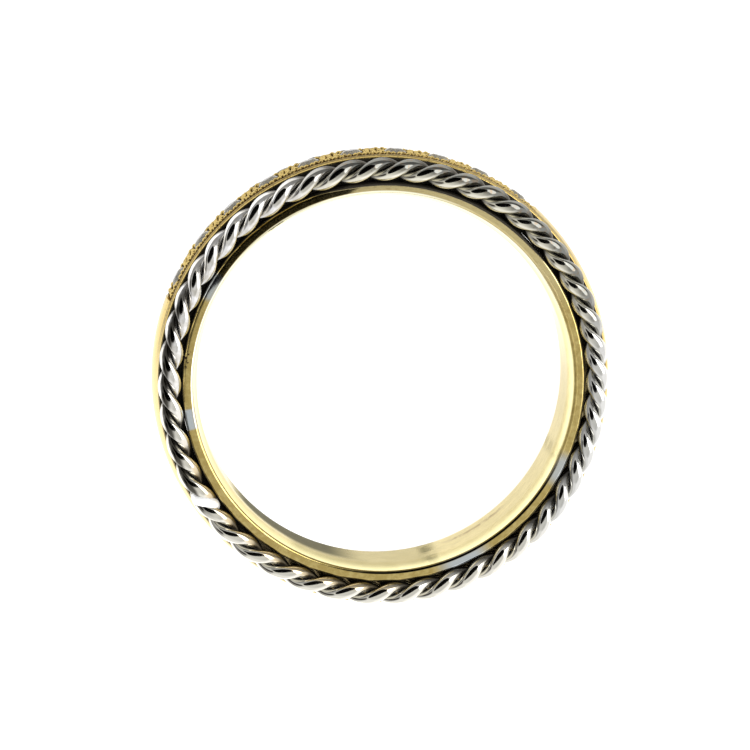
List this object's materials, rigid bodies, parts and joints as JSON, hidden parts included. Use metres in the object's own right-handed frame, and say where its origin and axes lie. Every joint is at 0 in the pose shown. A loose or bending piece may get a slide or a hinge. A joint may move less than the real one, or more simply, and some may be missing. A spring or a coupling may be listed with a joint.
{
  "type": "rope twist ring",
  "caption": "Two-tone finger ring: a gold sleeve and crowned gold band between two twisted silver ropes, with a row of small stones between raised grains.",
  "frame": {"origin": "on the ring's axis, at the height of the lowest bulges of the lower rope, on which the ring lies on its side", "axes": "+Z along the ring's axis, out of the pictured side; +Y towards the top of the picture and the stones"},
  "size_m": [0.0214, 0.0214, 0.0055],
  "materials": {
    "sleeve_gold": "polished 14 carat yellow gold, a little worn and stained at the end face",
    "band_gold": "polished 14 carat yellow gold with raised grains",
    "rope_silver": "polished sterling silver, oxidised black in the valleys",
    "stone": "clear faceted stone with a faint brown cast"
  },
  "bodies": {
    "root": {"liner": "sleeve_gold", "centre_band": "band_gold", "rope_front_a": "rope_silver", "rope_front_b": "rope_silver", "rope_back_a": "rope_silver", "rope_back_b": "rope_silver", "stone_01": "stone", "stone_02": "stone", "stone_03": "stone", "stone_04": "stone", "stone_05": "stone", "stone_06": "stone", "stone_07": "stone", "stone_08": "stone", "stone_09": "stone", "stone_10": "stone"}
  },
  "joints": []
}
